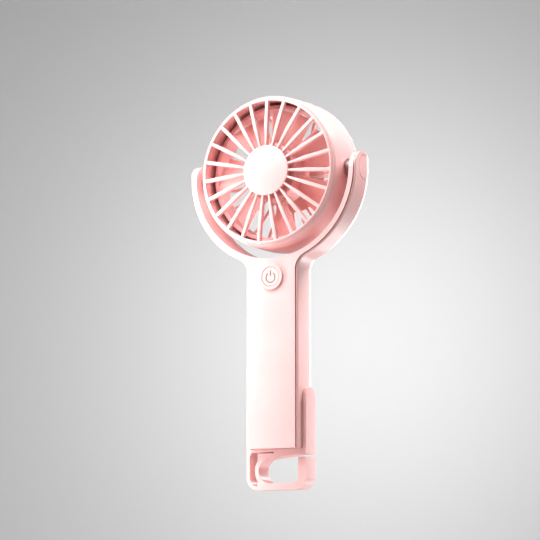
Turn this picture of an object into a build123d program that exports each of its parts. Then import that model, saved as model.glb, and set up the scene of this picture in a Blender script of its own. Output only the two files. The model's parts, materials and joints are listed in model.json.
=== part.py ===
from build123d import *
import os
from math import cos, pi, radians, sin, sqrt

os.makedirs("parts", exist_ok=True)

# Handheld fan, held upright. Millimetres. X is across the fan, -Y is the side the air leaves by,
# Z is up. The origin is the middle of the flat underside of the hanging loop.

# ---- driving dimensions -------------------------------------------------------------------
PIVOT_Z = 167.0            # height of the head's tilt axis, which is also the fan's axis
GRIP_HALF_W = 15.3         # half width of the grip
GRIP_FRONT = -10.8         # front face of the grip and the yoke
GRIP_BACK = 10.8           # back face of the grip
GRIP_BOTTOM = 21.3         # underside of the grip, above the hanging loop
YOKE_R = 49.7              # outer radius of the U that carries the head
YOKE_INNER_R = 46.0        # inner radius of the U
YOKE_BACK = 9.0            # back face of the U
ARM_TIP_R = 9.6            # side view: the arms end in half circles of this radius
ARM_TIP_Y = -1.2           # middle of those half circles, a little in front of the pivot
ARM_TIP_Z = PIVOT_Z - 1.6
NECK_FILLET = 8.0          # fillet where the U runs into the grip
BACK_EDGE_R = 8.5          # large rounding along the back edges
WALL = 1.5                 # general wall thickness of the grip
SEAM = 0.3                 # width of the parting groove round the front cover
RIM = 0.95                 # thickness of the rear shell's rim outside the groove
COVER_T = 1.4              # thickness of the front cover
RIM_DROP = 0.8             # the rim's front edge is this far behind the cover's face
RIM_ROUND = 0.85           # rounding of the rim's front edge
TIP_LEDGE = 1.7            # depth of the ledge in the rear shell under the cover
INNER_WALL = 1.1           # wall of the front cover that lines the inside of the U
LINING_BACK = 6.3          # that wall ends here, and the rear shell goes on behind it
FIT = 0.1                  # gap between two shells of one body
RUNNING = 0.05             # radial clearance of a running fit

TRUNNION_R = 3.5           # pivot pin of the head
TRUNNION_BORE_R = 1.7      # hollow for the motor leads
BOSS_R = 5.75              # shoulder of the pivot pin, between head and arm
CAP_R = 6.15               # round cover over the pivot on the outside of the arm
CAP_SEAM = 0.3             # gap round that cover
TILT_GAP = 0.3             # side gap between head and arm

BUTTON_Z = 111.2
BUTTON_R = 5.1
BEZEL_R = 6.9
BEZEL_H = 1.0

RING_R = 39.0              # front ring of the head
RING_INNER_R = 37.4
HEAD_FRONT = -15.8
BARREL_R = 41.0            # widest radius of the head
BARREL_BACK = 8.0          # joint between the barrel and the rear cover
HEAD_BACK = 17.5
CENTRE_R = 13.4            # round cap in the middle of the grille
FRONT_RIBS = 23
RIB_BREAK_R = 24.0         # where the slope of the front ribs changes
REAR_RIBS = 25
REAR_SKEW = -14.0          # the rear ribs leave the hub plate at this angle to the radius
DUCT_R = 34.4              # inside radius of the duct that the blades run in
DUCT_T = 2.2
DUCT_FRONT = -8.0
CHANNEL_R = 37.75          # middle of the channel between duct and barrel
IMPELLER_R = 33.5
HUB_R = 15.5
BLADES = 7
BLADE_START = 17.0         # angle of the first blade from the top, in degrees

LOOP_HALF_W = 17.7
LOOP_HALF_D = 5.3          # the loop and its side straps are this deep either side of centre
STRAP_TOP = 53.2
LOOP_CORNER = 6.5
LOOP_WALL = 3.4

CELL_R = 9.15              # round lithium cell, 18.3 by 65
CELL_BOTTOM = 24.6
CELL_LENGTH = 65.0
BOARD_Y = (-0.6, 0.6)      # front and back of the main board
BOARD_Z = (93.0, 118.6)
BOARD_HALF_W = 11.6
USB_Z = 99.0
LED_Z = 106.5
SHELL_SCREWS = [(x, z) for z in (29.0, 88.0) for x in (-10.9, 10.9)]
BOARD_SCREWS = [(-8.6, 116.0), (8.6, 95.6)]


# ---- helpers ------------------------------------------------------------------------------
def prism_y(sketch, y0, y1):
    """Extrude a sketch drawn in X (right) and Z (up) from y0 to y1."""
    return extrude(Plane.XZ.offset(-y1) * sketch, amount=y1 - y0)


def prism_x(sketch, x0, x1):
    """Extrude a sketch drawn in Y (right) and Z (up) from x0 to x1."""
    return extrude(Plane.YZ.offset(x0) * sketch, amount=x1 - x0)


def block(x0, x1, y0, y1, z0, z1):
    """Rectangular block between two corners."""
    return Pos((x0 + x1) / 2, (y0 + y1) / 2, (z0 + z1) / 2) * Box(x1 - x0, y1 - y0, z1 - z0)


def rod_y(x, z, radius, y0, y1):
    """Round bar along Y."""
    return Pos(x, (y0 + y1) / 2, z) * Rot(90, 0, 0) * Cylinder(radius, y1 - y0)


def rod_x(y, z, radius, x0, x1):
    """Round bar along X."""
    return Pos((x0 + x1) / 2, y, z) * Rot(0, 90, 0) * Cylinder(radius, x1 - x0)


def ordered(side, a, b):
    """The span a to b on the right (side 1) or mirrored on the left (side -1), low end first."""
    return min(side * a, side * b), max(side * a, side * b)


def turned(points):
    """Solid of revolution about the fan axis from (radius, y) points."""
    face = make_face(Polyline(*[(r, y) for r, y in points], close=True))
    return Pos(0, 0, PIVOT_Z) * revolve(face, Axis.Y)


def tube_y(r_in, r_out, y0, y1):
    """Plain tube about the fan axis."""
    return turned([(r_in, y0), (r_out, y0), (r_out, y1), (r_in, y1)])


def about_fan_axis(shape, angle):
    """Turn a shape by an angle about the fan axis."""
    return Pos(0, 0, PIVOT_Z) * Rot(0, angle, 0) * Pos(0, 0, -PIVOT_Z) * shape


def mirrored(shape):
    """The same shape on the other side of the YZ plane."""
    return mirror(shape, about=Plane.YZ)


def write(name, *solids):
    """Write the solids of one node to its STEP file."""
    flat = []
    for item in solids:
        flat += item.solids()
    result = flat[0] if len(flat) == 1 else Compound(children=flat)
    export_step(result, f"parts/{name}.step")


# ---- outlines of grip and yoke ------------------------------------------------------------
def outline(inset, bottom):
    """Front view of grip and U, filled, moved inwards by inset, down to a given height."""
    radius = YOKE_R - inset
    half_w = GRIP_HALF_W - inset
    disc = Pos(0, PIVOT_Z) * Circle(radius)
    below = Pos(0, PIVOT_Z - 30) * Rectangle(2 * radius, 60)
    lower_half = Pos(0, PIVOT_Z - radius / 2) * Rectangle(2 * radius, radius)
    arms = Pos(0, PIVOT_Z + 6) * Rectangle(2 * radius, 12)
    grip_top = PIVOT_Z - 30
    grip = Pos(0, (grip_top + bottom) / 2) * Rectangle(2 * half_w, grip_top - bottom)
    shape = (disc & below & lower_half) + grip
    corner_z = PIVOT_Z - sqrt(radius**2 - half_w**2)
    at_side = [v for v in shape.vertices() if abs(abs(v.X) - half_w) < 0.01]
    corners = [v for v in at_side if abs(v.Y - corner_z) < 0.01]
    shape = fillet(corners, NECK_FILLET + inset)
    return shape + arms


def yoke_opening(radius, top=20.0):
    """Front view of the space inside the U."""
    half = Pos(0, PIVOT_Z) * Circle(radius) & Pos(0, PIVOT_Z - radius / 2) * Rectangle(2 * radius, radius)
    return half + Pos(0, PIVOT_Z + top / 2) * Rectangle(2 * radius, top)


def side_profile(inset, front):
    """Side view of grip and U, with round arm tips; top, back and bottom move inwards by inset."""
    tip = ARM_TIP_R - inset
    back = GRIP_BACK - inset
    yoke_back = YOKE_BACK - inset
    bottom = GRIP_BOTTOM + inset
    tip_front, tip_back = ARM_TIP_Y - tip, ARM_TIP_Y + tip
    sides = Polyline(
        (tip_front, ARM_TIP_Z), (front, ARM_TIP_Z - 2), (front, bottom), (back, bottom),
        (back, 104.0), (yoke_back, 118.0), (yoke_back, PIVOT_Z - 25), (tip_back, ARM_TIP_Z),
    )
    over = ThreePointArc((tip_back, ARM_TIP_Z), (ARM_TIP_Y, ARM_TIP_Z + tip), (tip_front, ARM_TIP_Z))
    return make_face(sides + over)


def behind_cover(depth):
    """Side view of everything behind the front cover, which also wraps over the arm tips."""
    tip = ARM_TIP_R - depth
    front, top_back = ARM_TIP_Y - tip, ARM_TIP_Y + tip
    sides = Polyline((front, ARM_TIP_Z), (front, 0), (30, 0), (30, ARM_TIP_Z), (top_back, ARM_TIP_Z))
    over = ThreePointArc((top_back, ARM_TIP_Z), (ARM_TIP_Y, ARM_TIP_Z + tip), (front, ARM_TIP_Z))
    return make_face(sides + over)


def rounded_block(inset, y0, y1, edge_r):
    """The filled outline as a block with its back edges rounded."""
    solid = prism_y(outline(inset, GRIP_BOTTOM - 10), y0, y1)
    back_face = solid.faces().sort_by(Axis.Y)[-1]
    edges = [e for e in back_face.edges() if GRIP_BOTTOM < e.center().Z < PIVOT_Z + 11]
    return fillet(edges, edge_r)


def grip_body():
    """Outer form shared by the two shells of grip and yoke."""
    solid = rounded_block(0, GRIP_FRONT, GRIP_BACK, BACK_EDGE_R)
    solid &= prism_x(side_profile(0, GRIP_FRONT), -60, 60)
    return solid - prism_y(yoke_opening(YOKE_INNER_R), -20, 20)


def rim_block():
    """The filled outline behind the rim's rounded front edge."""
    solid = prism_y(outline(0, GRIP_BOTTOM - 10), GRIP_FRONT + RIM_DROP, 20)
    front_face = solid.faces().sort_by(Axis.Y)[0]
    edges = [e for e in front_face.edges() if GRIP_BOTTOM < e.center().Z < PIVOT_Z + 11]
    return fillet(edges, RIM_ROUND)


def grip_cavity():
    """Space inside the two shells."""
    solid = rounded_block(WALL + 0.1, GRIP_FRONT - 2, GRIP_BACK - WALL, BACK_EDGE_R - WALL)
    return solid & prism_x(side_profile(WALL, GRIP_FRONT - 2), -60, 60)


# ---- grip shells --------------------------------------------------------------------------
def make_rear_shell(body, cavity):
    """Back half: outer walls, back face, screw bosses, ports."""
    shell = (body & rim_block()) - cavity
    inside_rim = prism_y(outline(RIM, GRIP_BOTTOM - 10), -20, 20)
    under_cover = prism_x(behind_cover(TIP_LEDGE), -60, 60)
    shell -= inside_rim - under_cover
    inner = yoke_opening(YOKE_INNER_R + INNER_WALL + FIT)
    shell -= prism_y(inner, -20, LINING_BACK + FIT)
    inner_return = inner - yoke_opening(YOKE_INNER_R, 30)
    shell += prism_y(inner_return, LINING_BACK + FIT, YOKE_BACK) & body & under_cover
    for x, z in SHELL_SCREWS:
        shell += rod_y(x, z, 2.2, 4.0, GRIP_BACK) & body
        shell += rod_y(x, z, 1.5, 0.1, 4.1)
    for x, z in BOARD_SCREWS:
        shell += rod_y(x, z, 1.85, BOARD_Y[1], GRIP_BACK - 1.2)
    for x, z in SHELL_SCREWS:
        shell -= rod_y(x, z, 1.0, -1, 20)
        shell -= rod_y(x, z, 1.65, 7.0, 20)
    for x, z in BOARD_SCREWS:
        shell -= rod_y(x, z, 0.75, -1, 7.0)
    shell -= prism_y(Pos(0, USB_Z) * SlotOverall(9.5, 3.8), 5, 20)
    shell -= rod_y(0, LED_Z, 1.05, 5, 20)
    for side in (-1, 1):
        shell -= rod_x(0, PIVOT_Z, CAP_R + CAP_SEAM, *ordered(side, 44, 53))
        shell -= rod_x(0, STRAP_TOP - LOOP_HALF_D, 2.05, *ordered(side, 11, 20))
    return shell


def make_front_cover(body):
    """Front cover of the grip with the U's front face and inner lining."""
    cover = prism_y(outline(RIM + SEAM, GRIP_BOTTOM - 10), -20, 20) & body
    cover -= prism_x(behind_cover(COVER_T), -60, 60)
    lining = prism_y(yoke_opening(YOKE_INNER_R + INNER_WALL) - yoke_opening(YOKE_INNER_R, 30), -20, 20)
    lining &= body
    lining &= block(-60, 60, GRIP_FRONT, LINING_BACK, 60, 200)
    cover += lining
    cover += rod_y(0, BUTTON_Z, BEZEL_R, GRIP_FRONT - BEZEL_H, GRIP_FRONT + 0.5)
    cover -= rod_y(0, BUTTON_Z, BUTTON_R + 0.15, -20, 0)
    for x, z in SHELL_SCREWS:
        post = rod_y(x, z, 1.85, GRIP_FRONT + COVER_T - 0.1, -4.0) + rod_y(x, z, 1.5, -4.1, 0.0)
        cover += post - rod_y(x, z, 0.92, -7.5, 1)
    for side in (-1, 1):
        cover -= rod_x(0, PIVOT_Z, TRUNNION_R + RUNNING, *ordered(side, 44, 48))
        cover -= rod_x(0, PIVOT_Z, BOSS_R + 0.4, *ordered(side, 44, YOKE_INNER_R))
    return cover


def make_pivot_cap(body):
    """Round cover that closes the pivot on the outside of the right arm."""
    return rod_x(0, PIVOT_Z, CAP_R, 48.2, 53) & body


# ---- hanging loop -------------------------------------------------------------------------
def loop_profile():
    """Front view of the loop: thin outer wall, curved spring tongue, open gap at the right."""
    hole_r = 6.55
    hole_x, hole_z = -4.05, LOOP_WALL + hole_r
    leg_x = LOOP_HALF_W - 4.8
    gap_bottom, gap_top = 16.8, 18.35
    frame = Pos(0, 10.6) * Rectangle(2 * LOOP_HALF_W, 21.2)
    frame = fillet(frame.vertices().sort_by(Axis.Y)[:2], LOOP_CORNER)
    corner = 3.4
    hole = make_face(
        Line((hole_x, LOOP_WALL), (leg_x - corner, LOOP_WALL))
        + ThreePointArc(
            (leg_x - corner, LOOP_WALL),
            (leg_x - corner + corner * sin(pi / 4), LOOP_WALL + corner - corner * cos(pi / 4)),
            (leg_x, LOOP_WALL + corner),
        )
        + Polyline((leg_x, LOOP_WALL + corner), (leg_x, gap_top), (hole_x, LOOP_WALL + 2 * hole_r))
        + ThreePointArc(
            (hole_x, LOOP_WALL + 2 * hole_r), (hole_x - hole_r, hole_z), (hole_x, LOOP_WALL)
        )
    )
    gap = Pos(LOOP_HALF_W, (gap_bottom + gap_top) / 2) * Rectangle(2 * 4.9, gap_top - gap_bottom)
    slot_left, slot_bottom, slot_top = -LOOP_HALF_W + 1.8, 1.8, 19.6
    slot = Pos((slot_left - 4) / 2, (slot_bottom + slot_top) / 2) * Rectangle(
        -4 - slot_left, slot_top - slot_bottom
    )
    left = slot.vertices().sort_by(Axis.X)[:2].sort_by(Axis.Y)
    slot = fillet(left[0], 4.6)
    slot = fillet(slot.vertices().group_by(Axis.X)[0].sort_by(Axis.Y)[-1], 1.6)
    tongue = Pos(hole_x, hole_z) * Circle(hole_r + 2.2)
    slot = slot - tongue - Pos(-4 - 3.6, 10) * Rectangle(7.0, 40)
    slit = Pos(-7.6, 19.35) * Rectangle(10.8, 0.5) + Pos(-2.2, 19.35) * Circle(0.5)
    return frame - hole - gap - slot - slit


def make_hanging_loop():
    """Loop, crossbar and the two straps that lie on the sides of the grip."""
    loop = prism_y(loop_profile(), -LOOP_HALF_D, LOOP_HALF_D)
    strap_top = Pos(0, STRAP_TOP - LOOP_HALF_D) * Circle(LOOP_HALF_D)
    straight = STRAP_TOP - LOOP_HALF_D - 18.35
    strap = strap_top + Pos(0, 18.35 + straight / 2) * Rectangle(2 * LOOP_HALF_D, straight)
    inner_x = GRIP_HALF_W + 0.02
    for x0, x1 in ((inner_x, LOOP_HALF_W), (-LOOP_HALF_W, -inner_x)):
        loop += prism_x(strap, x0, x1)
    for side in (-1, 1):
        loop += rod_x(0, STRAP_TOP - LOOP_HALF_D, 2.0, *ordered(side, 13.9, 16))
    return loop


# ---- power and electronics ----------------------------------------------------------------
def make_power_button():
    """Round key with a collar that keeps it behind the cover and a stem on to the switch."""
    face_y = GRIP_FRONT - BEZEL_H + 0.15
    key = rod_y(0, BUTTON_Z, BUTTON_R, face_y, GRIP_FRONT + COVER_T + 0.4)
    key = fillet(key.edges().group_by(Axis.Y)[0], 0.5)
    collar = rod_y(0, BUTTON_Z, BUTTON_R + 1.0, GRIP_FRONT + COVER_T + 0.3, GRIP_FRONT + COVER_T + 1.2)
    stem = rod_y(0, BUTTON_Z, 1.8, GRIP_FRONT + COVER_T + 1.0, -5.7)
    return key + collar + stem


def make_switch():
    """Tactile switch: body on the board, and its plunger."""
    body = block(-3, 3, -4.1, BOARD_Y[0], BUTTON_Z - 3, BUTTON_Z + 3)
    body -= rod_y(0, BUTTON_Z, 1.8, -6, -2.0)
    plunger = rod_y(0, BUTTON_Z, 1.72, -5.68, -2.9)
    return body, plunger


def make_board():
    """Main circuit board with its screw holes."""
    y0, y1 = BOARD_Y
    board = block(-BOARD_HALF_W, BOARD_HALF_W, y0, y1, *BOARD_Z)
    for x, z in BOARD_SCREWS:
        board -= rod_y(x, z, 1.1, -2, 2)
    return board


def make_components():
    """Chips, inductor, capacitors and terminal pads on the main board."""
    back, front = BOARD_Y[1], BOARD_Y[0]
    parts = [
        block(-9.5, -4.5, back, back + 1.5, 103.5, 108.5),
        block(3.6, 8.6, back, back + 2.4, 103.0, 108.0),
        block(-3.2, 0.4, back, back + 1.2, 111.5, 114.5),
        block(-9.8, -5.8, front - 1.4, front, 98.0, 102.0),
        rod_y(7.6, 100.0, 2.2, front - 4.2, front),
    ]
    for i in range(5):
        x = 4.2 + 1.7 * i
        parts.append(block(x - 0.5, x + 0.5, back, back + 0.6, 111.0, 113.0))
    return parts


def make_usb():
    """Upright charging socket: metal shell and its tongue."""
    shell = prism_y(Pos(0, USB_Z) * (SlotOverall(8.9, 3.2) - SlotOverall(8.3, 2.6)), BOARD_Y[1], 10.0)
    base = prism_y(Pos(0, USB_Z) * SlotOverall(8.3, 2.6), BOARD_Y[1], 3.2)
    tongue = block(-3.3, 3.3, 3.2, 9.3, USB_Z - 0.35, USB_Z + 0.35)
    return shell, base + tongue


def make_screw(x, z, head_y, tip_y, head_r, shank_r):
    """Pan head screw along Y, driven from the back, with a cross recess."""
    screw = rod_y(x, z, head_r, head_y - 1.3, head_y) + rod_y(x, z, shank_r, tip_y, head_y - 1.2)
    for turn in (0, 90):
        cross = Box(0.5, 1.4, 2.2)
        screw -= Pos(x, head_y, z) * Rot(0, turn, 0) * cross
    return screw


def make_board_screw(x, z):
    """Board screw, driven from the front."""
    screw = rod_y(x, z, 1.7, BOARD_Y[0] - 1.1, BOARD_Y[0]) + rod_y(x, z, 0.7, BOARD_Y[0] - 0.1, 6.4)
    for turn in (0, 90):
        screw -= Pos(x, BOARD_Y[0] - 1.1, z) * Rot(0, turn, 0) * Box(0.4, 1.2, 1.8)
    return screw


def wire(path_wire, radius):
    """Round lead along a path of straight runs and arcs."""
    start = Plane(origin=path_wire @ 0, z_dir=path_wire % 0)
    return sweep(start * Circle(radius), path=path_wire)


def make_battery_leads():
    """Two short leads from the cell's ends to the board."""
    top = CELL_BOTTOM + CELL_LENGTH
    red_points = [(3.0, -0.5, top + 0.5), (3.0, -2.2, top + 2.4), (3.0, -1.0, 95.5)]
    red_path = FilletPolyline(*red_points, radius=0.9)
    red = wire(red_path, 0.4)
    low = CELL_BOTTOM - 0.5
    black = wire(
        FilletPolyline(
            (-6.0, -1.0, low), (-12.4, -1.0, low), (-13.2, -4.4, low + 9), (-13.2, -4.4, 91.5),
            (-11.0, -1.0, 95.0), (-11.0, -1.0, 97.5), radius=0.9,
        ),
        0.4,
    )
    return red, black


def arm_point(angle, y):
    """Point in the middle of the arm's cable channel, by angle about the fan axis."""
    radius = YOKE_INNER_R + INNER_WALL + 0.5
    return (radius * cos(radians(angle)), y, PIVOT_Z + radius * sin(radians(angle)))


def make_motor_leads():
    """Pair of leads that climb from the board through the right arm to the pivot."""
    leads = []
    for y in (BOARD_Y[1] + 0.4, BOARD_Y[1] + 1.4):
        climb = ThreePointArc(arm_point(-10, y), arm_point(-40, y), arm_point(-70, y))
        corner = climb @ 1 + (climb % 1) * 4.4
        tail = FilletPolyline(climb @ 1, corner, corner + Vector(-0.3, 0, -3.0), radius=1.2)
        leads.append(wire(Wire(climb.edges() + tail.edges()), 0.35))
    return leads


# ---- head ---------------------------------------------------------------------------------
def make_barrel():
    """Open drum of the head, with the duct for the blades and the channel round it."""
    outer = [
        (39.1, HEAD_FRONT + 0.9), (39.4, HEAD_FRONT + 0.9), (40.1, HEAD_FRONT + 1.9), (40.5, -8.0),
        (BARREL_R, 4.0), (BARREL_R, BARREL_BACK),
    ]
    duct_out = DUCT_R + DUCT_T
    inner = [
        (39.3, BARREL_BACK), (39.3, 4.2), (DUCT_R, 4.2), (DUCT_R, DUCT_FRONT), (duct_out, DUCT_FRONT),
        (duct_out, 2.8), (38.9, 2.8), (38.45, HEAD_FRONT + 1.5), (39.1, HEAD_FRONT + 1.5),
    ]
    barrel = turned(outer + inner)
    for side in (-1, 1):
        barrel -= rod_x(0, PIVOT_Z, TRUNNION_R, *ordered(side, 38, 44))
    barrel -= rod_y(CHANNEL_R, PIVOT_Z, 1.0, 2, 5)
    return barrel


def make_trunnion():
    """Hollow pivot pin for the right side, pressed into the barrel."""
    shoulder_end = YOKE_INNER_R - TILT_GAP
    pin = rod_x(0, PIVOT_Z, TRUNNION_R, 39.0, 48.0)
    shoulder = rod_x(0, PIVOT_Z, BOSS_R, 41.02, shoulder_end)
    pin += shoulder
    pin -= rod_x(0, PIVOT_Z, TRUNNION_BORE_R, 38, 50)
    groove = rod_x(0, PIVOT_Z, TRUNNION_R + 1, 47.3, 47.75) - rod_x(0, PIVOT_Z, 2.9, 47, 48)
    return pin - groove


def make_pivot_clip():
    """Open spring clip in the groove of the right pivot pin."""
    clip = rod_x(0, PIVOT_Z, 4.9, 47.35, 47.7) - rod_x(0, PIVOT_Z, 2.95, 47, 48)
    return clip - block(47, 48, -1.6, 1.6, PIVOT_Z, PIVOT_Z + 6)


def make_friction_washer():
    """Thin washer between the right arm and the shoulder of the pivot pin."""
    disc = rod_x(0, PIVOT_Z, 5.5, YOKE_INNER_R - 0.2, YOKE_INNER_R)
    return disc - rod_x(0, PIVOT_Z, TRUNNION_R + 0.1, 45, 47)


def rib_bars(count, sides, skew):
    """Tall bars round the fan axis from (radius, half width) points; skew turns each away from radial."""
    right = [(half, PIVOT_Z + r) for r, half in sides]
    left = [(-half, PIVOT_Z + r) for r, half in reversed(sides)]
    bar = prism_y(make_face(Polyline(*right, *left, close=True)), -30, 30)
    start = PIVOT_Z + sides[0][0]
    bar = Pos(0, 0, start) * Rot(0, skew, 0) * Pos(0, 0, -start) * bar
    return [about_fan_axis(bar, 360 * i / count) for i in range(count)]


def make_front_grille():
    """Front ring, radial ribs with a break in their slope, and the plate behind the centre cap."""
    ring = turned([
        (RING_INNER_R, HEAD_FRONT + 0.2), (RING_INNER_R + 0.2, HEAD_FRONT), (RING_INNER_R + 0.6, HEAD_FRONT),
        (RING_R, HEAD_FRONT + 0.7), (RING_R, HEAD_FRONT + 1.45), (38.35, HEAD_FRONT + 1.45),
        (38.35, -11.0), (RING_INNER_R, -11.0),
    ])
    disc = tube_y(0.0, CENTRE_R - 0.6, HEAD_FRONT - 0.3, HEAD_FRONT + 1.2)
    sheet = turned([
        (9, HEAD_FRONT - 0.9), (RIB_BREAK_R, HEAD_FRONT - 0.9), (38, HEAD_FRONT + 0.6),
        (38, HEAD_FRONT + 2.6), (RIB_BREAK_R, HEAD_FRONT + 1.5), (9, HEAD_FRONT + 1.5),
    ])
    grille = ring + disc
    for bar in rib_bars(FRONT_RIBS, [(9.0, 0.5), (13.0, 0.5), (RIB_BREAK_R, 1.0), (37.9, 0.9)], 0):
        grille += bar & sheet
    pocket = tube_y(0.0, CENTRE_R + 0.05, HEAD_FRONT - 3, HEAD_FRONT - 0.3)
    return grille - pocket


def make_centre_cap():
    """Slightly domed disc on the middle of the grille."""
    back = HEAD_FRONT - 0.3
    front = HEAD_FRONT - 1.0
    rise = 0.8
    edge = CENTRE_R - 0.5
    dome_r = (edge**2 + rise**2) / (2 * rise)
    half = edge / 2
    half_drop = dome_r - sqrt(dome_r**2 - half**2)
    apex = front - 0.4 - rise
    profile = Polyline((0, apex), (0, back), (CENTRE_R, back), (CENTRE_R, front), (edge, front - 0.4))
    profile += ThreePointArc((edge, front - 0.4), (half, apex + half_drop), (0, apex))
    return Pos(0, 0, PIVOT_Z) * revolve(make_face(profile), Axis.Y)


def rear_skin(offset):
    """Half section of the rear cover's skin, from its rim round the edge to the middle."""
    corner = 8.0
    centre_r, centre_y = BARREL_R - corner, HEAD_BACK - corner
    at_45 = (corner - offset) * sin(pi / 4)
    side = Line((BARREL_R - offset, BARREL_BACK + 0.05), (BARREL_R - offset, centre_y))
    turn = ThreePointArc((BARREL_R - offset, centre_y), (centre_r + at_45, centre_y + at_45),
                         (centre_r, HEAD_BACK - offset))
    flat = Line((centre_r, HEAD_BACK - offset), (11.0, HEAD_BACK - offset))
    return side + turn + flat


def make_rear_grille():
    """Rear cover: rim, skewed ribs that wrap round the back edge, hub plate and bearing tube."""
    skin_t = 2.0
    ends = Line((11.0, HEAD_BACK), (11.0, HEAD_BACK - skin_t))
    ends += Line((BARREL_R, BARREL_BACK + 0.05), (BARREL_R - skin_t, BARREL_BACK + 0.05))
    section = make_face(rear_skin(0.0).edges() + rear_skin(skin_t).edges() + ends.edges())
    skin = Pos(0, 0, PIVOT_Z) * revolve(section, Axis.Y)
    solid_zone = tube_y(30, 50, 7, 11.6) + tube_y(10.0, HUB_R + 2.2, 5, 30)
    for bar in rib_bars(REAR_RIBS, [(15.0, 0.7), (46.0, 0.7)], REAR_SKEW):
        solid_zone += bar & tube_y(14.0, 45.0, 9.0, 30)
    solid_zone += block(15, 42, 9, 30, PIVOT_Z - 1.6, PIVOT_Z + 1.6)
    cover = skin & solid_zone
    cover += tube_y(0, 11.4, HEAD_BACK - 1.8, HEAD_BACK)
    cover += tube_y(37.6, 39.2, 5.6, BARREL_BACK + 2.4)
    cover -= block(36.8, 38.5, 4.0, BARREL_BACK + 2.6, PIVOT_Z - 1.2, PIVOT_Z + 1.2)
    cover += tube_y(3.0, 4.4, -6.5, HEAD_BACK - 1.7)
    return cover


# ---- motor and impeller -------------------------------------------------------------------
def make_stator():
    """Laminated core with six teeth on the bearing tube."""
    y0, y1 = -6.3, -0.7
    core = tube_y(4.45, 6.2, y0, y1)
    tips = tube_y(9.9, 11.0, y0, y1)
    for i in range(6):
        core += about_fan_axis(block(-1.2, 1.2, y0, y1, PIVOT_Z + 5.8, PIVOT_Z + 10.2), 60 * i)
        wedge = Pos(0, 0, PIVOT_Z + 10.4) * Box(8.4, 20, 3.0)
        core += about_fan_axis(wedge & tips, 60 * i)
    return core


def make_windings():
    """One coil round each tooth."""
    coils = []
    for i in range(6):
        coil = block(-2.3, 2.3, -7.4, 0.4, PIVOT_Z + 6.7, PIVOT_Z + 9.5)
        coil -= block(-1.22, 1.22, -6.32, -0.68, PIVOT_Z + 5, PIVOT_Z + 11)
        coils.append(about_fan_axis(coil, 60 * i))
    return coils


def make_rotor_cup():
    """Steel cup that carries the magnets, with the collar that holds the shaft."""
    return turned([
        (1.0, -10.6), (14.15, -10.6), (14.15, 1.8), (13.3, 1.8), (13.3, -9.7), (2.6, -9.7),
        (2.6, -7.7), (1.0, -7.7),
    ])


def make_shaft():
    """Motor shaft with the groove for its clip."""
    shaft = rod_y(0, PIVOT_Z, 1.0, -10.55, 13.2)
    groove = tube_y(0.72, 1.5, 12.2, 12.7)
    return shaft - groove


def make_shaft_clip():
    """Split retaining clip at the back end of the shaft."""
    clip = tube_y(0.74, 2.1, 12.25, 12.65)
    return clip - block(-0.55, 0.55, 12, 13, PIVOT_Z, PIVOT_Z + 3)


def blade_section(radius, chord, pitch, camber, thickness):
    """Cambered blade section at a radius, drawn across the radial direction."""
    n = 8
    upper, lower = [], []
    for i in range(n + 1):
        t = i / n
        s = chord * (t - 0.5)
        bend = camber * 4 * t * (1 - t)
        half = thickness / 2 * (0.35 + 0.65 * sin(pi * (0.08 + 0.84 * t)))
        upper.append((s, bend + half))
        lower.append((s, bend - half))
    outline_edges = Spline(*upper) + Line(upper[-1], lower[-1])
    outline_edges += Spline(*lower[::-1]) + Line(lower[0], upper[0])
    plane = Plane(origin=(0, -4.5, PIVOT_Z + radius), x_dir=(cos(radians(pitch)), sin(radians(pitch)), 0),
                  z_dir=(0, 0, 1))
    return plane * make_face(outline_edges)


def make_impeller():
    """Hub cup and seven broad twisted blades."""
    hub = turned([
        (0, -11.9), (HUB_R - 0.8, -11.9), (HUB_R, -11.1), (HUB_R, 3.0), (14.25, 3.0),
        (14.25, -10.65), (0, -10.65),
    ])
    blade = loft([
        blade_section(14.9, 13.0, 44, 1.5, 1.5),
        blade_section(24.0, 18.5, 35, 1.9, 1.3),
        blade_section(34.5, 22.5, 27, 2.0, 1.1),
    ])
    blade &= tube_y(14.9, IMPELLER_R, -20, 20)
    wheel = hub
    for i in range(BLADES):
        wheel += about_fan_axis(blade, 360 * i / BLADES + BLADE_START)
    return wheel


def make_head_leads():
    """Leads from the pivot through the channel and along the cable rib to the motor board."""
    leads = []
    for z in (PIVOT_Z - 0.45, PIVOT_Z + 0.45):
        route = [(47.8, 0), (CHANNEL_R, 0), (CHANNEL_R, 10.6), (34.6, 14.6), (9.6, 14.6), (9.6, 3.6)]
        path = FilletPolyline(*[(x, y, z) for x, y in route], radius=0.9)
        leads.append(wire(path, 0.35))
    return leads


# ---- build everything ---------------------------------------------------------------------
body = grip_body()
cavity = grip_cavity()
write("front_cover", make_front_cover(body))
write("rear_shell", make_rear_shell(body, cavity))
cap = make_pivot_cap(body)
write("pivot_cap_right", cap)
write("pivot_cap_left", mirrored(cap))
write("hanging_loop", make_hanging_loop())
write("power_button", make_power_button())
switch_body, switch_plunger = make_switch()
write("switch_body", switch_body)
write("switch_plunger", switch_plunger)
write("main_board", make_board())
write("board_components", *make_components())
usb_shell, usb_tongue = make_usb()
write("usb_socket_shell", usb_shell)
write("usb_socket_tongue", usb_tongue)
write("charge_light", rod_y(0, LED_Z, 1.0, 1.4, GRIP_BACK))
CELL_MIDDLE = CELL_BOTTOM + CELL_LENGTH / 2
write("battery_cell", Pos(0, 0, CELL_MIDDLE) * Cylinder(CELL_R, CELL_LENGTH))
red, black = make_battery_leads()
write("battery_lead_red", red)
write("battery_lead_black", black)
write("shell_screws", *[make_screw(x, z, 8.3, -6.8, 1.6, 0.9) for x, z in SHELL_SCREWS])
write("board_screws", *[make_board_screw(x, z) for x, z in BOARD_SCREWS])
write("motor_leads_grip", *make_motor_leads())
washer = make_friction_washer()
write("friction_washers", washer, mirrored(washer))

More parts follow.
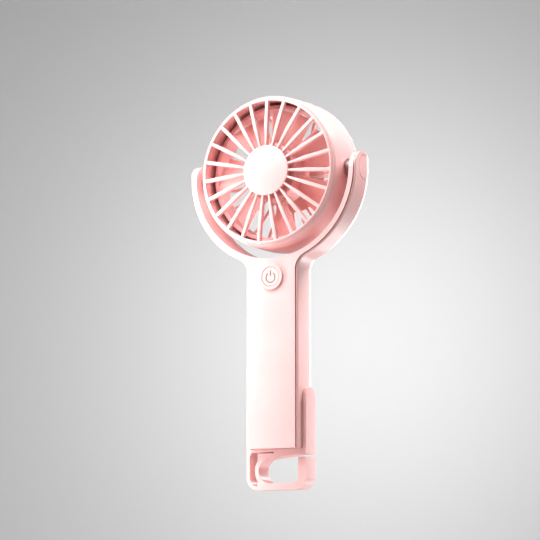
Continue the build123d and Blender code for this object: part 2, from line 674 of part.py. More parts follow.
write("barrel", make_barrel())
write("front_grille", make_front_grille())
write("centre_cap", make_centre_cap())
write("rear_grille", make_rear_grille())
trunnion = make_trunnion()
write("pivot_pin_right", trunnion)
write("pivot_pin_left", mirrored(trunnion))
clip = make_pivot_clip()
write("pivot_clips", clip, mirrored(clip))
write("motor_leads_head", *make_head_leads())
write("stator_core", make_stator())
write("stator_windings", *make_windings())
write("motor_board", tube_y(4.5, 12.4, 2.6, 3.6))
write("shaft_bearings", tube_y(1.04, 3.0, -6.2, -3.7), tube_y(1.04, 3.0, 8.4, 10.9))

write("impeller", make_impeller())
write("rotor_cup", make_rotor_cup())
write("magnet_ring", tube_y(11.4, 13.25, -7.8, 1.4))
write("motor_shaft", make_shaft())
write("shaft_clip", make_shaft_clip())
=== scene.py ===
import json
from math import atan2, cos, pi, radians, sin, sqrt, tan

import bmesh
import bpy
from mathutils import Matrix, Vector


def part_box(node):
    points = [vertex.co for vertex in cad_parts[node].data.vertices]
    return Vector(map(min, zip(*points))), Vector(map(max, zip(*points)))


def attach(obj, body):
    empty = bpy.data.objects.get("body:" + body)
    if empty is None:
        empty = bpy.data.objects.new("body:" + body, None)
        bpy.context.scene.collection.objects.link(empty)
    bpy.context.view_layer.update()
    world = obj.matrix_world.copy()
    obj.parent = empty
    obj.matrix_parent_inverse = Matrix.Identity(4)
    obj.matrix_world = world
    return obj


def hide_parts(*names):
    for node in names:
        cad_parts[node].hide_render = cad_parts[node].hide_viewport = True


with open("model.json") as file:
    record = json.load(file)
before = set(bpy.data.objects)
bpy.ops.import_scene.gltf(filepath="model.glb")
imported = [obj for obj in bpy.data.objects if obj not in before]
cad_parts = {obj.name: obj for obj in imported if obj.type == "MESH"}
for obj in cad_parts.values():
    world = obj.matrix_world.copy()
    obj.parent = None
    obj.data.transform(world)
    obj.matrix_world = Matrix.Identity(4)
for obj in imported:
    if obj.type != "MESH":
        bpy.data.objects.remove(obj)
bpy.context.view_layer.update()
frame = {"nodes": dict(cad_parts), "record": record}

# Shapes are worked out in millimetres, and meshes are written in metres.
MM = 0.001


def edges_of(node):
    """Lowest and highest corner of a CAD node, in millimetres."""
    low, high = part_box(node)
    return low / MM, high / MM


# ---- sizes read from the frame ------------------------------------------------------------
barrel_low, barrel_high = edges_of("barrel")
button_low, button_high = edges_of("power_button")
grille_high = edges_of("front_grille")[1]
cap_high = edges_of("centre_cap")[1]
rear_high = edges_of("rear_grille")[1]
impeller_low, impeller_high = edges_of("impeller")

AXIS_Z = (barrel_low.z + barrel_high.z) / 2     # height of the fan's axis
LIP_DEPTH = 0.9                                 # from the ring's face back to the barrel's lip
HEAD_FRONT = barrel_low.y - LIP_DEPTH           # front face of the ring
HEAD_BACK = rear_high.y
BARREL_R = barrel_high.x
BARREL_BACK = barrel_high.y
RING_R = grille_high.x
CENTRE_R = cap_high.x
IMPELLER_R = impeller_high.z - AXIS_Z
IMPELLER_BACK = impeller_high.y
HUB_FRONT = impeller_low.y
BUTTON_Z = (button_low.z + button_high.z) / 2
BUTTON_FACE = button_low.y
BUTTON_BACK = button_high.y
COLLAR_R = button_high.x

# ---- sizes of the moulded detail ----------------------------------------------------------
RIM_ROUND = 0.85                                # largest edge rounding on the grip
EDGE_ANGLE = 32.0                               # degrees between faces from which an edge is rounded
SHARP_ANGLE = 40.0                              # degrees from which an edge is shaded sharp
RIM_STEPS = 256                                 # segments round the large turned parts

BARREL_WALL = 1.7
DUCT_R = IMPELLER_R + 0.9
DUCT_WALL = 2.2
DUCT_FRONT = -7.0
PIVOT_HOLE_R = 3.5

RING_INNER_R = RING_R - 1.6
RING_BACK = -11.0
SEAT_DEPTH = 1.5                                # from the ring's face back to its seat in the barrel
CAP_SEAT = 0.3                                  # the cap's seat stands this far in front of the ring
CAP_EDGE = 1.25                                 # and the edge of its face this far
CAP_CROWN = 0.95                                # extra height of the face at its middle
FRONT_RIBS = 23
RIB_BREAK_R = 24.0
RIB_END_R = 37.9

REAR_RIBS = 25
REAR_SKEW = radians(-14.0)
REAR_CORNER = 8.0                               # the ribs' bend at the edge of the rear cover
HUB_WALL = 1.25
HUB_R = IMPELLER_R - 18.0
TUBE_FRONT = -6.5                               # front end of the bearing tube

BLADES = 7
BLADE_START = radians(17.0)                     # turn of the first blade at rest
BLADE_ROOT_R = 14.8
BLADE_MIDDLE = -4.5                             # y of the blades' middle

BUTTON_R = COLLAR_R - 1.0
COLLAR_DEPTH = 2.7
COLLAR_THICK = 0.7


# ---- mesh tools ---------------------------------------------------------------------------
def rounded(points, steps=5):
    """Closed outline with its corners rounded. Each point is (a, b, radius)."""
    path = []
    for i, (a, b, radius) in enumerate(points):
        here = Vector((a, b))
        before = Vector(points[i - 1][:2]) - here
        after = Vector(points[(i + 1) % len(points)][:2]) - here
        half = before.angle(after) / 2
        cut = min(radius / tan(half), 0.48 * before.length, 0.48 * after.length)
        if radius == 0:
            path.append(here)
            continue
        towards = (before.normalized() + after.normalized()).normalized()
        centre = here + towards * (cut / cos(half))
        first = here + before.normalized() * cut - centre
        last = here + after.normalized() * cut - centre
        turn = first.angle(last)
        for k in range(steps + 1):
            t = k / steps
            path.append(centre + (first * sin((1 - t) * turn) + last * sin(t * turn)) / sin(turn))
    return path


def stitch(rings, closed_rings=True, closed_ends=False):
    """Mesh data from rings of points: quads between neighbours, and a face on each open end."""
    verts = [point for ring in rings for point in ring]
    size = len(rings[0])
    faces = []
    spans = len(rings) if closed_ends else len(rings) - 1
    around = size if closed_rings else size - 1
    for i in range(spans):
        here, there = i * size, ((i + 1) % len(rings)) * size
        for j in range(around):
            k = (j + 1) % size
            faces.append((here + j, here + k, there + k, there + j))
    if not closed_ends:
        faces.append(tuple(range(size))[::-1])
        faces.append(tuple(range((len(rings) - 1) * size, len(rings) * size)))
    return verts, faces


def lathe(profile, steps=RIM_STEPS):
    """Turn a closed (radius, y) profile about the fan axis."""
    rings = []
    for i in range(steps):
        a = 2 * pi * i / steps
        rings.append([(r * sin(a), y, AXIS_Z + r * cos(a)) for r, y in profile])
    return stitch(rings, closed_ends=True)


def spun(verts, angle):
    """Points turned about the fan axis by an angle in radians."""
    c, s = cos(angle), sin(angle)
    return [(x * c + (z - AXIS_Z) * s, y, AXIS_Z - x * s + (z - AXIS_Z) * c) for x, y, z in verts]


def joined(parts):
    """One mesh's data from several."""
    verts, faces = [], []
    for part_verts, part_faces in parts:
        base = len(verts)
        verts += list(part_verts)
        faces += [tuple(base + i for i in face) for face in part_faces]
    return verts, faces


def new_object(name, data):
    """Object from mesh data in millimetres, with doubled points merged and normals outwards."""
    verts, faces = data
    mesh = bpy.data.meshes.new(name)
    mesh.from_pydata([Vector(v) * MM for v in verts], [], faces)
    bm = bmesh.new()
    bm.from_mesh(mesh)
    bmesh.ops.remove_doubles(bm, verts=bm.verts, dist=1e-7)
    bmesh.ops.dissolve_degenerate(bm, edges=bm.edges, dist=1e-8)
    bmesh.ops.recalc_face_normals(bm, faces=bm.faces)
    bm.to_mesh(mesh)
    bm.free()
    piece = bpy.data.objects.new(name, mesh)
    bpy.context.scene.collection.objects.link(piece)
    return piece


def applied(piece):
    """Bake a piece's modifiers into its mesh."""
    graph = bpy.context.evaluated_depsgraph_get()
    mesh = bpy.data.meshes.new_from_object(piece.evaluated_get(graph))
    piece.modifiers.clear()
    piece.data = mesh
    return piece


def combine(piece, data, operation):
    """Union, difference or intersection of a piece with other mesh data."""
    other = new_object("tool", data)
    step = piece.modifiers.new("combine", "BOOLEAN")
    step.object = other
    step.operation = operation
    step.solver = "EXACT"
    applied(piece)
    bpy.data.objects.remove(other)
    return piece


def round_edges(piece, width, wide_above=None):
    """Round a piece's sharp edges, and the outermost ones above a height by RIM_ROUND."""
    mesh = piece.data
    bm = bmesh.new()
    bm.from_mesh(mesh)
    weights = bm.edges.layers.float.new("bevel_weight_edge")
    outermost = max(abs(v.co.x) for v in bm.verts) - 0.01 * MM
    for edge in bm.edges:
        if len(edge.link_faces) == 2 and edge.calc_face_angle() > radians(EDGE_ANGLE):
            edge[weights] = width / RIM_ROUND
            high = wide_above and all(v.co.z > wide_above * MM for v in edge.verts)
            if high and all(abs(v.co.x) > outermost for v in edge.verts):
                edge[weights] = 1.0
    bm.to_mesh(mesh)
    bm.free()
    step = piece.modifiers.new("bevel", "BEVEL")
    step.width = RIM_ROUND * MM
    step.segments = 4
    step.limit_method = "WEIGHT"
    step.use_clamp_overlap = True
    step.miter_outer = "MITER_ARC"
    return applied(piece)


def finished(piece, body, slot, material, *nodes):
    """Shade a piece, give it its material, tie it to its body, and hide the CAD nodes it stands for."""
    piece.data.polygons.foreach_set("use_smooth", [True] * len(piece.data.polygons))
    piece.data.set_sharp_from_angle(angle=radians(SHARP_ANGLE))
    normals = piece.modifiers.new("normals", "WEIGHTED_NORMAL")
    normals.keep_sharp = True
    piece.data.materials.clear()
    piece.data.materials.append(material)
    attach(piece, body)
    if nodes:
        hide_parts(*nodes)
    return piece


def from_cad(node, width, wide_above=None):
    """Copy of a CAD node, flat faces made whole and sharp edges rounded."""
    mesh = frame["nodes"][node].data.copy()
    bm = bmesh.new()
    bm.from_mesh(mesh)
    bmesh.ops.remove_doubles(bm, verts=bm.verts, dist=2e-6)
    bmesh.ops.dissolve_limit(bm, angle_limit=radians(0.4), verts=bm.verts, edges=bm.edges)
    bm.to_mesh(mesh)
    bm.free()
    if "custom_normal" in mesh.attributes:
        mesh.attributes.remove(mesh.attributes["custom_normal"])
    piece = bpy.data.objects.new(node + "_shaped", mesh)
    bpy.context.scene.collection.objects.link(piece)
    return round_edges(piece, width, wide_above)


# ---- materials ----------------------------------------------------------------------------
def node_tree(name):
    """New material with its node tree and shader."""
    material = bpy.data.materials.new(name)
    material.use_nodes = True
    tree = material.node_tree
    return material, tree, tree.nodes["Principled BSDF"]


def noise(tree, scale, detail=4.0, roughness=0.55):
    """Noise in object space; scale is in features per metre."""
    place = tree.nodes.new("ShaderNodeTexCoord")
    texture = tree.nodes.new("ShaderNodeTexNoise")
    texture.inputs["Scale"].default_value = scale
    texture.inputs["Detail"].default_value = detail
    texture.inputs["Roughness"].default_value = roughness
    tree.links.new(place.outputs["Object"], texture.inputs["Vector"])
    return texture.outputs["Fac"]


def remap(tree, value, low, high):
    """Map a 0.3 to 0.7 noise on to a range."""
    step = tree.nodes.new("ShaderNodeMapRange")
    step.inputs["From Min"].default_value = 0.3
    step.inputs["From Max"].default_value = 0.7
    step.inputs["To Min"].default_value = low
    step.inputs["To Max"].default_value = high
    tree.links.new(value, step.inputs["Value"])
    return step.outputs["Result"]


def mixed(tree, factor, first, second):
    """Colour between two colours by a factor output."""
    step = tree.nodes.new("ShaderNodeMix")
    step.data_type = "RGBA"
    step.inputs["A"].default_value = (*first, 1)
    step.inputs["B"].default_value = (*second, 1)
    tree.links.new(factor, step.inputs["Factor"])
    return step.outputs["Result"]


def bump(tree, shader, height, strength, distance):
    """Surface relief from a height output."""
    step = tree.nodes.new("ShaderNodeBump")
    step.inputs["Strength"].default_value = strength
    step.inputs["Distance"].default_value = distance * MM
    tree.links.new(height, step.inputs["Height"])
    tree.links.new(step.outputs["Normal"], shader.inputs["Normal"])


def moulded_plastic(name, colour, deeper, roughness, subsurface=0.12):
    """Moulded plastic: fine spark-eroded grain, slight flow marks in colour and gloss."""
    material, tree, shader = node_tree(name)
    flow = remap(tree, noise(tree, 55.0, 3.0), 0.0, 1.0)
    tree.links.new(mixed(tree, flow, colour, deeper), shader.inputs["Base Color"])
    gloss = remap(tree, noise(tree, 420.0, 5.0), roughness - 0.05, roughness + 0.06)
    tree.links.new(gloss, shader.inputs["Roughness"])
    shader.inputs["Coat Weight"].default_value = 0.2
    shader.inputs["Coat Roughness"].default_value = 0.22
    shader.inputs["IOR"].default_value = 1.5
    shader.inputs["Subsurface Weight"].default_value = subsurface
    shader.inputs["Subsurface Radius"].default_value = (1.0, 0.35, 0.3)
    shader.inputs["Subsurface Scale"].default_value = 1.6 * MM
    bump(tree, shader, noise(tree, 3800.0, 2.0), 0.35, 0.012)
    return material


def metal(name, colour, roughness, grain_scale=2600.0):
    """Plated metal with a fine drawn grain."""
    material, tree, shader = node_tree(name)
    darker = tuple(0.78 * c for c in colour)
    tree.links.new(mixed(tree, noise(tree, 300.0), darker, colour), shader.inputs["Base Color"])
    gloss = remap(tree, noise(tree, 900.0), roughness - 0.06, roughness + 0.1)
    tree.links.new(gloss, shader.inputs["Roughness"])
    shader.inputs["Metallic"].default_value = 1.0
    bump(tree, shader, noise(tree, grain_scale, 2.0), 0.3, 0.01)
    return material


def matt(name, colour, roughness=0.6, grain=0.4, scale=1800.0):
    """Matt surface with slight mottling and grain."""
    material, tree, shader = node_tree(name)
    paler = tuple(min(1.0, 1.25 * c + 0.01) for c in colour)
    tree.links.new(mixed(tree, noise(tree, 260.0), colour, paler), shader.inputs["Base Color"])
    gloss = remap(tree, noise(tree, 700.0), roughness - 0.08, roughness + 0.08)
    tree.links.new(gloss, shader.inputs["Roughness"])
    bump(tree, shader, noise(tree, scale, 3.0), grain, 0.02)
    return material


pink_shell = moulded_plastic("pink_shell", (0.86, 0.50, 0.485), (0.84, 0.46, 0.445), 0.36)
pink_button = moulded_plastic("pink_button", (0.88, 0.53, 0.51), (0.86, 0.49, 0.47), 0.3)
pink_impeller = moulded_plastic("pink_impeller", (0.87, 0.46, 0.44), (0.84, 0.41, 0.39), 0.3, 0.2)
symbol_ink = matt("symbol_ink", (0.16, 0.085, 0.09), 0.45, 0.2)
slot_looks = {
    "black_plastic": matt("black_plastic", (0.025, 0.025, 0.027), 0.5),
    "circuit_board": matt("circuit_board", (0.02, 0.13, 0.06), 0.35, 0.2),
    "steel": metal("steel", (0.62, 0.62, 0.63), 0.3),
    "pivot_metal": metal("pivot_metal", (0.36, 0.27, 0.27), 0.34),
    "light_pipe": matt("light_pipe", (0.85, 0.85, 0.82), 0.3, 0.15),
    "cell_wrap": matt("cell_wrap", (0.06, 0.22, 0.5), 0.28, 0.2, 500.0),
    "red_wire": matt("red_wire", (0.55, 0.03, 0.025), 0.45),
    "white_wire": matt("white_wire", (0.8, 0.7, 0.68), 0.45),
    "black_wire": matt("black_wire", (0.02, 0.02, 0.022), 0.45),
    "nylon": matt("nylon", (0.8, 0.78, 0.72), 0.5),
    "copper": metal("copper", (0.72, 0.32, 0.16), 0.3, 1400.0),
    "magnet": matt("magnet", (0.07, 0.07, 0.075), 0.5, 0.6),
    "pink_shell": pink_shell,
    "pink_button": pink_button,
    "pink_impeller": pink_impeller,
}


def paint_cad_nodes():
    """Give every CAD node the finish of its slot in the record."""
    for entry in frame["record"]["subparts"]:
        piece = frame["nodes"][entry["node"]]
        for place in piece.material_slots:
            place.material = slot_looks[entry["material_slot"]]


# ---- head ---------------------------------------------------------------------------------
def bore(x0, x1, radius, steps=48):
    """Cylinder along X about the tilt axis, for cutting holes."""
    turn = [2 * pi * i / steps for i in range(steps)]
    rings = [[(x, radius * sin(a), AXIS_Z + radius * cos(a)) for a in turn] for x in (x0, x1)]
    return stitch(rings)


def make_barrel():
    """Drum of the head with its chamfered lip and the duct round the blades."""
    lip, seat = HEAD_FRONT + LIP_DEPTH, HEAD_FRONT + SEAT_DEPTH
    seat_r, bore_r = RING_R + 0.1, BARREL_R - BARREL_WALL
    duct_out = DUCT_R + DUCT_WALL
    web_front, web_back = 2.8, 4.2
    profile = rounded([
        (seat_r, lip, 0.08), (seat_r + 0.3, lip, 0.15), (seat_r + 1.0, lip + 1.0, 0.8),
        (BARREL_R - 0.5, -8.0, 4.0), (BARREL_R, 4.0, 4.0), (BARREL_R, BARREL_BACK, 0.25),
        (bore_r, BARREL_BACK, 0.1), (bore_r, web_back, 0.1),
        (DUCT_R, web_back, 0.3), (DUCT_R, DUCT_FRONT, 0.6),
        (duct_out, DUCT_FRONT, 0.4), (duct_out, web_front, 0.5),
        (seat_r - 0.2, web_front, 0.5), (seat_r - 0.65, seat, 0.05), (seat_r, seat, 0.05),
    ])
    piece = new_object("head_barrel", lathe(profile))
    for x0, x1 in ((37.0, 44.0), (-44.0, -37.0)):
        combine(piece, bore(x0, x1, PIVOT_HOLE_R), "DIFFERENCE")
    return finished(piece, "head", "pink_shell", pink_shell, "barrel")


def bar(stations):
    """Bar that stands up from the axis: stations of (radius, half width, front y, back y)."""
    rings = []
    for z, half, front, back in stations:
        corners = [(-half, front), (half, front), (half, back), (-half, back)]
        section = rounded([(x, y, 0.3) for x, y in corners], 3)
        rings.append([(x, y, AXIS_Z + z) for x, y in section])
    return stitch(rings)


def make_front_grille():
    """Ring, ribs with a break in their slope, and the disc under the centre cap."""
    front = HEAD_FRONT
    chamfer_back, spigot_r = front + 1.45, RING_R - 0.65
    ring = rounded([
        (RING_INNER_R, front, 0.25), (RING_INNER_R + 0.6, front, 0.15),
        (RING_R, front + 0.7, 0.12), (RING_R, chamfer_back, 0.1),
        (spigot_r, chamfer_back, 0.1), (spigot_r, RING_BACK, 0.2), (RING_INNER_R, RING_BACK, 0.3),
    ])
    piece = new_object("front_grille_shaped", lathe(ring))
    high, back, end = front - 1.1, front + 1.5, front + 0.15
    fall = (end - high) / (RIB_END_R - RIB_BREAK_R)
    stations = [
        (9.0, 0.5, high, back), (13.0, 0.5, high, back), (RIB_BREAK_R - 0.6, 0.98, high, back),
        (RIB_BREAK_R + 0.2, 1.0, high + 0.04, back), (RIB_BREAK_R + 1.0, 0.99, high + fall, back + fall),
        (RIB_END_R, 0.9, end, back + 0.9),
    ]
    rib_verts, rib_faces = bar(stations)
    ribs = [(spun(rib_verts, 2 * pi * i / FRONT_RIBS), rib_faces) for i in range(FRONT_RIBS)]
    combine(piece, joined(ribs), "UNION")
    disc_r, disc_front, disc_back = CENTRE_R - 0.6, front - CAP_SEAT, front + 1.7
    disc = rounded([
        (0.0, disc_front, 0), (disc_r, disc_front, 0.1), (disc_r, disc_back, 0.3), (0.0, disc_back, 0),
    ])
    combine(piece, lathe(disc, 128), "UNION")
    return finished(piece, "head", "pink_shell", pink_shell, "front_grille")


def make_centre_cap():
    """Plain disc with a slightly domed face and a rounded edge."""
    back, edge, steps = HEAD_FRONT - CAP_SEAT, HEAD_FRONT - CAP_EDGE, 12
    dome = []
    for t in range(1, steps + 1):
        outwards = 1 - t / steps
        dome.append((CENTRE_R * outwards, edge - CAP_CROWN * (1 - outwards ** 2), 0))
    profile = [(0.0, back, 0), (CENTRE_R, back, 0.12), (CENTRE_R, edge, 0.45)] + dome
    piece = new_object("centre_cap_shaped", lathe(rounded(profile)))
    return finished(piece, "head", "pink_shell", pink_shell, "centre_cap")


def skewed_angle(radius, start, skew):
    """Angle about the axis where a bar that starts at a radius, at a skew, reaches another."""
    along = sqrt(radius**2 - (start * sin(skew)) ** 2) - start * cos(skew)
    return atan2(along * sin(skew), start + along * cos(skew))


def rear_rib():
    """One skewed rib that follows the flat back and wraps round the edge of the rear cover."""
    thick, half, start, inner_r = 2.0, 0.7, 15.0, 16.0
    centre_r, centre_y = BARREL_R - REAR_CORNER, HEAD_BACK - REAR_CORNER
    stations = [(inner_r + (centre_r - inner_r) * t / 8, HEAD_BACK, 0.0, 1.0) for t in range(9)]
    for k in range(1, 11):
        a = pi / 2 * k / 10
        radius, y = centre_r + REAR_CORNER * sin(a), centre_y + REAR_CORNER * cos(a)
        stations.append((radius, y, sin(a), cos(a)))
    corners = [(-half, -thick / 2), (half, -thick / 2), (half, thick / 2), (-half, thick / 2)]
    section = rounded([(x, y, 0.35) for x, y in corners], 3)
    rings = []
    for radius, y, out_r, out_y in stations:
        mid = radius - out_r * thick / 2
        angle = skewed_angle(mid, start, REAR_SKEW)
        ring = []
        for across, up in section:
            r = mid + out_r * up
            depth = y - out_y * thick / 2 + out_y * up
            x, z = r * sin(angle), r * cos(angle)
            ring.append((x + across * cos(angle), depth, AXIS_Z + z - across * sin(angle)))
        rings.append(ring)
    return stitch(rings)


def make_rear_grille():
    """Rear cover: rim, ribs, hub plate and bearing tube."""
    back, rim_front = HEAD_BACK, BARREL_BACK + 0.05
    skirt_r, skirt_front, skirt_back = 37.6, 5.6, 10.4
    skirt_out = skirt_r + 1.6
    rim = rounded([
        (BARREL_R, rim_front, 0.25), (BARREL_R, 10.6, 1.4), (BARREL_R - 0.8, 11.7, 0.4),
        (skirt_r + 1.0, 11.4, 0.4), (skirt_r + 1.3, skirt_back, 0.3), (skirt_r, skirt_back, 0.2),
        (skirt_r, skirt_front, 0.2), (skirt_out, skirt_front, 0.2), (skirt_out, rim_front, 0.05),
    ])
    piece = new_object("rear_grille_shaped", lathe(rim))
    rib_verts, rib_faces = rear_rib()
    ribs = [(spun(rib_verts, 2 * pi * i / REAR_RIBS), rib_faces) for i in range(REAR_RIBS)]
    combine(piece, joined(ribs), "UNION")
    plate_r, tube_out, tube_in = HUB_R + 2.2, 4.4, 3.0
    plate = rounded([
        (0.0, back, 0), (16.2, back, 0.6), (plate_r, back - 0.9, 0.5), (plate_r, back - 2, 0.3),
        (tube_out, back - 2, 0.2), (tube_out, TUBE_FRONT, 0.15), (tube_in, TUBE_FRONT, 0.15),
        (tube_in, back - 1.7, 0), (0.0, back - 1.7, 0),
    ])
    combine(piece, lathe(plate, 160), "UNION")
    return finished(piece, "head", "pink_shell", pink_shell, "rear_grille")


# ---- impeller -----------------------------------------------------------------------------
def blade_ring(radius, around=14):
    """Closed section of a blade at a radius, wrapped round the fan axis."""
    share = (radius - 14.6) / (34.5 - 14.6)
    chord = 13.0 + 9.5 * share ** 0.9
    pitch = radians(44 - 17 * share ** 0.9)
    camber = 1.5 + 0.5 * share
    thick = 1.5 - 0.4 * share
    points = []
    for side in (1, -1):
        for k in range(around + 1):
            t = (1 - cos(pi * k / around)) / 2
            t = t if side > 0 else 1 - t
            s = chord * (t - 0.5)
            half = thick / 2 * sqrt(max(0.0, 1 - (2 * t - 1) ** 6))
            height = camber * 4 * t * (1 - t) + side * half
            across = s * cos(pitch) - height * sin(pitch)
            depth = BLADE_MIDDLE + s * sin(pitch) + height * cos(pitch)
            angle = across / radius
            points.append((radius * sin(angle), depth, AXIS_Z + radius * cos(angle)))
    return points


def make_impeller():
    """Hub cup with a rounded nose, and its broad twisted blades."""
    inner_r, inner_front = HUB_R - HUB_WALL, HUB_FRONT + HUB_WALL
    hub = rounded([
        (0.0, HUB_FRONT, 0), (HUB_R, HUB_FRONT, 1.3), (HUB_R, IMPELLER_BACK, 0.3),
        (inner_r, IMPELLER_BACK, 0.2), (inner_r, inner_front, 0.3), (0.0, inner_front, 0),
    ])
    piece = new_object("impeller_shaped", lathe(hub, 160))
    span = IMPELLER_R - BLADE_ROOT_R
    verts, faces = stitch([blade_ring(BLADE_ROOT_R + span * t / 14) for t in range(15)])
    blades = [(spun(verts, 2 * pi * i / BLADES + BLADE_START), faces) for i in range(BLADES)]
    combine(piece, joined(blades), "UNION")
    return finished(piece, "impeller_unit", "pink_impeller", pink_impeller, "impeller")


# ---- grip ---------------------------------------------------------------------------------
def make_grip_pieces():
    """Shells, pivot caps, hanging loop and pins: CAD forms with rounded edges."""
    for node, width in (("front_cover", 0.22), ("pivot_cap_right", 0.2), ("pivot_cap_left", 0.2),
                        ("hanging_loop", 0.4)):
        finished(from_cad(node, width), "grip", "pink_shell", pink_shell, node)
    shell = from_cad("rear_shell", 0.22, wide_above=AXIS_Z)
    finished(shell, "grip", "pink_shell", pink_shell, "rear_shell")
    for node in ("pivot_pin_right", "pivot_pin_left"):
        finished(from_cad(node, 0.2), "head", "pivot_metal", slot_looks["pivot_metal"], node)


def about_button(profile, steps=96):
    """Turn a closed (radius, y) profile about the button's axis."""
    rings = []
    for i in range(steps):
        a = 2 * pi * i / steps
        rings.append([(r * sin(a), y, BUTTON_Z + r * cos(a)) for r, y in profile])
    return stitch(rings, closed_ends=True)


def make_power_button():
    """Key with a rounded edge and a shallow dish, its collar and its stem."""
    stem_r, steps = 1.8, 6
    collar, collar_back = BUTTON_FACE + COLLAR_DEPTH, BUTTON_FACE + COLLAR_DEPTH + COLLAR_THICK
    dish = []
    for t in range(steps + 1):
        outwards = 1 - t / steps
        dish.append((BUTTON_R * 0.86 * outwards, BUTTON_FACE + 0.12 * (1 - outwards ** 2), 0))
    profile = rounded([
        (0.0, BUTTON_BACK, 0), (stem_r, BUTTON_BACK, 0.15), (stem_r, collar_back, 0.1),
        (COLLAR_R, collar_back, 0.1), (COLLAR_R, collar, 0.1), (BUTTON_R, collar, 0.1),
        (BUTTON_R, BUTTON_FACE, 0.5),
    ] + dish)
    piece = new_object("power_button_shaped", about_button(profile))
    return finished(piece, "button_unit", "pink_button", pink_button, "power_button")


def stroke(middle, half):
    """Section of the power mark's line, from the button's face back into its dish."""
    top, low = BUTTON_FACE, BUTTON_FACE + 0.2
    left, right = middle - half, middle + half
    return rounded([(left, top, 0.05), (right, top, 0.05), (right, low, 0), (left, low, 0)], 3)


def make_power_symbol():
    """Generic power mark: an open ring and a short bar."""
    ring_r, half, gap = 2.65, 0.3, radians(36)
    ring_z, bar_ends, steps = BUTTON_Z - 0.5, (BUTTON_Z + 0.4, BUTTON_Z + 3.2), 60
    rings = []
    for k in range(steps + 1):
        a = gap + (2 * pi - 2 * gap) * k / steps
        rings.append([(r * sin(a), y, ring_z + r * cos(a)) for r, y in stroke(ring_r, half)])
    mark = [[(x, y, z) for x, y in stroke(0.0, half)] for z in bar_ends]
    piece = new_object("power_symbol", joined([stitch(rings), stitch(mark)]))
    return finished(piece, "button_unit", "pink_button", symbol_ink)


# ---- studio -------------------------------------------------------------------------------
# The studio is laid out in metres, with angles in degrees.
LOOK_AT = Vector((-0.0067, 0.0, 0.1165))
CAMERA_AZIMUTH = 29.1
CAMERA_ELEVATION = -8.0
CAMERA_DISTANCE = 1.215
CAMERA_LENS = 152.7

HEAD_MIDDLE = Vector((0, 0, 0.18))
GRIP_MIDDLE = Vector((0, 0, 0.07))
GRIP_BACK_EDGE = Vector((0.0165, 0.006, 0.065))

FLOOR_Z = -0.30
FLOOR_REACH = 14.0
WALL_DISTANCE = 2.2
WALL_HEIGHT = 4.0
WALL_BEND = 0.3


def direction(azimuth, elevation):
    """Unit vector from the object towards a camera or lamp at these angles."""
    a, e = radians(azimuth), radians(elevation)
    return Vector((sin(a) * cos(e), -cos(a) * cos(e), sin(e)))


AWAY = -direction(CAMERA_AZIMUTH, 0.0)          # from the camera towards the wall
RIGHT = Vector((AWAY.y, -AWAY.x, 0.0))          # to the right in the camera's view


def aim(thing, target):
    """Point a camera or lamp at a place."""
    thing.rotation_euler = (target - thing.location).to_track_quat("-Z", "Y").to_euler()


def make_camera():
    """Camera at the view's angle, level, with a long lens."""
    data = bpy.data.cameras.new("camera")
    data.lens = CAMERA_LENS
    camera = bpy.data.objects.new("camera", data)
    bpy.context.scene.collection.objects.link(camera)
    camera.location = LOOK_AT + direction(CAMERA_AZIMUTH, CAMERA_ELEVATION) * CAMERA_DISTANCE
    aim(camera, LOOK_AT)
    bpy.context.scene.camera = camera


def softbox(name, target, azimuth, elevation, distance, size, power):
    """Rectangular lamp, unseen by the camera, at a distance and angles from its target."""
    data = bpy.data.lights.new(name, "AREA")
    data.shape = "RECTANGLE"
    data.size, data.size_y = size
    data.energy = power
    lamp = bpy.data.objects.new(name, data)
    bpy.context.scene.collection.objects.link(lamp)
    lamp.location = target + direction(azimuth, elevation) * distance
    aim(lamp, target)


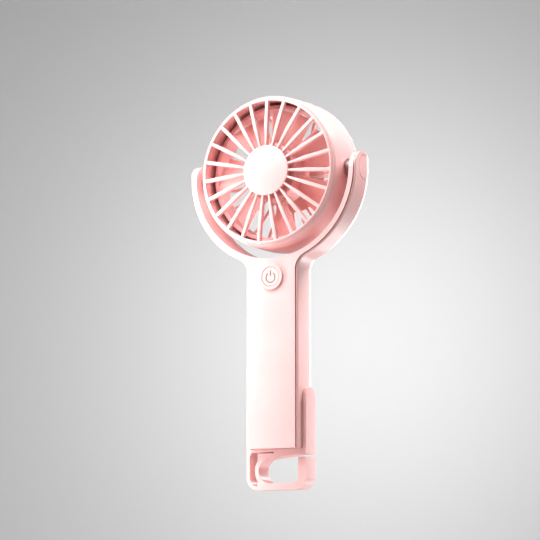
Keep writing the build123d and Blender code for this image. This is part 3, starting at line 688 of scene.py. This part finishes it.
def make_backdrop():
    """Pale floor that curves up into a pale wall behind the object."""
    line = [(-FLOOR_REACH, 0.0)]
    for k in range(17):
        turn = pi / 2 * k / 16
        line.append((WALL_DISTANCE - WALL_BEND * (1 - sin(turn)), WALL_BEND * (1 - cos(turn))))
    line.append((WALL_DISTANCE, WALL_HEIGHT))
    verts = []
    for across in (-FLOOR_REACH, FLOOR_REACH):
        start = RIGHT * across
        verts += [(start + AWAY * depth + Vector((0, 0, FLOOR_Z + height))) / MM for depth, height in line]
    size = len(line)
    faces = [(i, i + 1, size + i + 1, size + i) for i in range(size - 1)]
    piece = new_object("backdrop", (verts, faces))
    piece.data.polygons.foreach_set("use_smooth", [True] * len(piece.data.polygons))
    material, tree, shader = node_tree("backdrop_paper")
    paper = mixed(tree, noise(tree, 3.0), (0.8, 0.8, 0.8), (0.82, 0.82, 0.82))
    tree.links.new(paper, shader.inputs["Base Color"])
    shader.inputs["Roughness"].default_value = 0.9
    piece.data.materials.append(material)


def light_object():
    """Softboxes on the head, strips along the grip's edges, and rim lamps behind."""
    softbox("key", HEAD_MIDDLE, -28, 40, 0.32, (0.25, 0.25), 2.6)
    softbox("front", LOOK_AT, 4, 12, 1.4, (0.7, 0.7), 0.35)
    softbox("near_strip", GRIP_MIDDLE, -60, 0, 0.075, (0.02, 0.2), 0.19)
    softbox("edge_strip", GRIP_BACK_EDGE, 152, 0, 0.02, (0.006, 0.19), 0.01)
    softbox("rim_high", HEAD_MIDDLE, 130, 50, 0.6, (0.3, 0.3), 7.0)
    softbox("rim_low", LOOK_AT, 176, 0, 1.0, (0.16, 0.9), 8.0)
    softbox("fill", LOOK_AT, 60, 4, 1.4, (0.6, 0.8), 0.7)


def light_wall():
    """Round glow on the wall, right of the object, and a broad light to its left."""
    glow = AWAY * WALL_DISTANCE + RIGHT * 0.156 + Vector((0, 0, 0.34))
    softbox("glow", glow, CAMERA_AZIMUTH, 0, 0.55, (0.3, 0.3), 2.3)
    softbox("spread", glow - RIGHT * 0.36, CAMERA_AZIMUTH, 0, 1.2, (1.0, 1.0), 2.2)


def make_studio():
    """Soft light from all round, and the lamps."""
    world = bpy.data.worlds.new("world")
    world.use_nodes = True
    background = world.node_tree.nodes["Background"]
    background.inputs["Color"].default_value = (0.93, 0.93, 0.93, 1)
    background.inputs["Strength"].default_value = 0.22
    bpy.context.scene.world = world
    bpy.context.scene.view_settings.view_transform = "Standard"
    light_object()
    light_wall()


make_camera()
paint_cad_nodes()
make_barrel()
make_front_grille()
make_centre_cap()
make_rear_grille()
make_impeller()
make_grip_pieces()
make_power_button()
make_power_symbol()
make_backdrop()
make_studio()
